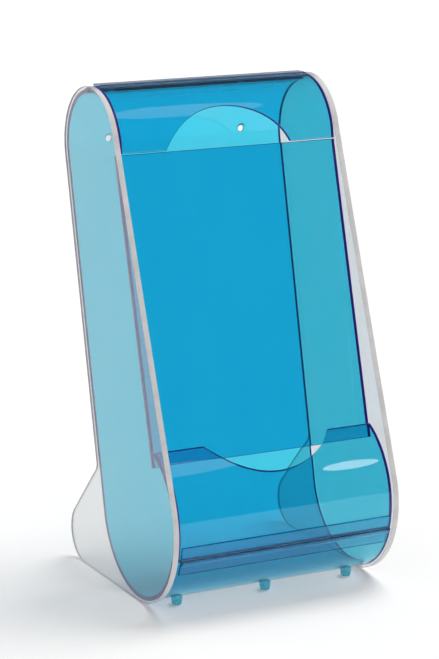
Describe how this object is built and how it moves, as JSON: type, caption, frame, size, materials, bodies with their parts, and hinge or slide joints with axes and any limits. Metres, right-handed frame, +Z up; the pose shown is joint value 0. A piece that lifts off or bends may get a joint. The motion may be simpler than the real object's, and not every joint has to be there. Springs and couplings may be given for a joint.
{
  "type": "safety glasses dispenser",
  "caption": "Tall countertop or wall bin of transparent blue sheet between clear side panels, with a hinged lid on top and a hinged door over its rounded bottom.",
  "frame": {"origin": "middle of the footprint, on the floor", "axes": "+Z up, +X to the object's left as it faces the user, front towards -Y, wall side towards +Y"},
  "size_m": [0.203, 0.204, 0.4084],
  "materials": {
    "clear_panel": "polished clear acrylic",
    "blue_sheet": "polished transparent fluorescent blue acrylic, purple at its cut edges",
    "hinge_strip": "clear extruded plastic",
    "bumper": "translucent soft bumper"
  },
  "bodies": {
    "shell": {"side_panel_left": "clear_panel", "side_panel_right": "clear_panel", "back_sheet": "blue_sheet", "front_panel": "blue_sheet", "top_hinge_socket_leaf": "hinge_strip", "bottom_hinge_socket_leaf": "hinge_strip", "foot_left": "bumper", "foot_centre": "bumper", "foot_right": "bumper"},
    "lid": {"lid": "blue_sheet", "top_hinge_bead_leaf": "hinge_strip"},
    "door": {"lower_door": "blue_sheet", "bottom_hinge_bead_leaf": "hinge_strip"}
  },
  "joints": [
    {"name": "lid_hinge", "type": "hinge", "parent": "shell", "child": "lid", "pos_m": [0, 0.05672, 0.407], "axis": [-1, 0, 0], "range_deg": [0, 110]},
    {"name": "door_hinge", "type": "hinge", "parent": "shell", "child": "door", "pos_m": [0, -0.09919, 0.04981], "axis": [1, 0, 0], "range_deg": [0, 100]}
  ]
}
